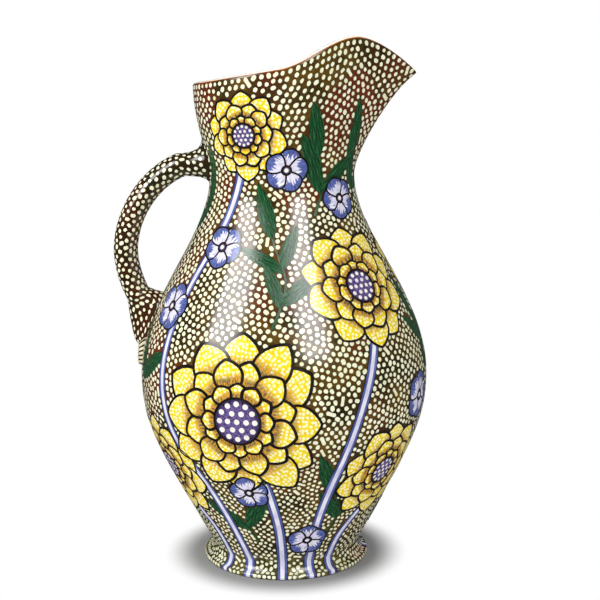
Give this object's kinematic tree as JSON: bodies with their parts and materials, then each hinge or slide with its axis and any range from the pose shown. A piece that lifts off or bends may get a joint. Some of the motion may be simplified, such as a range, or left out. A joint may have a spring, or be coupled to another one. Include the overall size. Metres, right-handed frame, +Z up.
{
  "type": "lipped pitcher",
  "caption": "Round-bellied glazed earthenware pitcher on a turned foot ring, with a flared neck, a beaked pouring spout and a strap handle.",
  "frame": {"origin": "centre of the foot ring's resting plane, on the axis of the body", "axes": "+Z up along the body's axis, +X towards the spout, the handle on -X, left and right mirrored in Y"},
  "size_m": [0.1732, 0.1594, 0.29],
  "materials": {
    "brown_glaze": "glossy",
    "olive_glaze": "glossy",
    "handle_glaze": "glossy",
    "bare_clay": "matte"
  },
  "bodies": {
    "root": {"foot_ring": "olive_glaze", "floor_disc": "bare_clay", "lower_body": "brown_glaze", "shoulder": "brown_glaze", "neck": "brown_glaze", "spout": "brown_glaze", "handle": "handle_glaze", "handle_tail": "handle_glaze"}
  },
  "joints": []
}
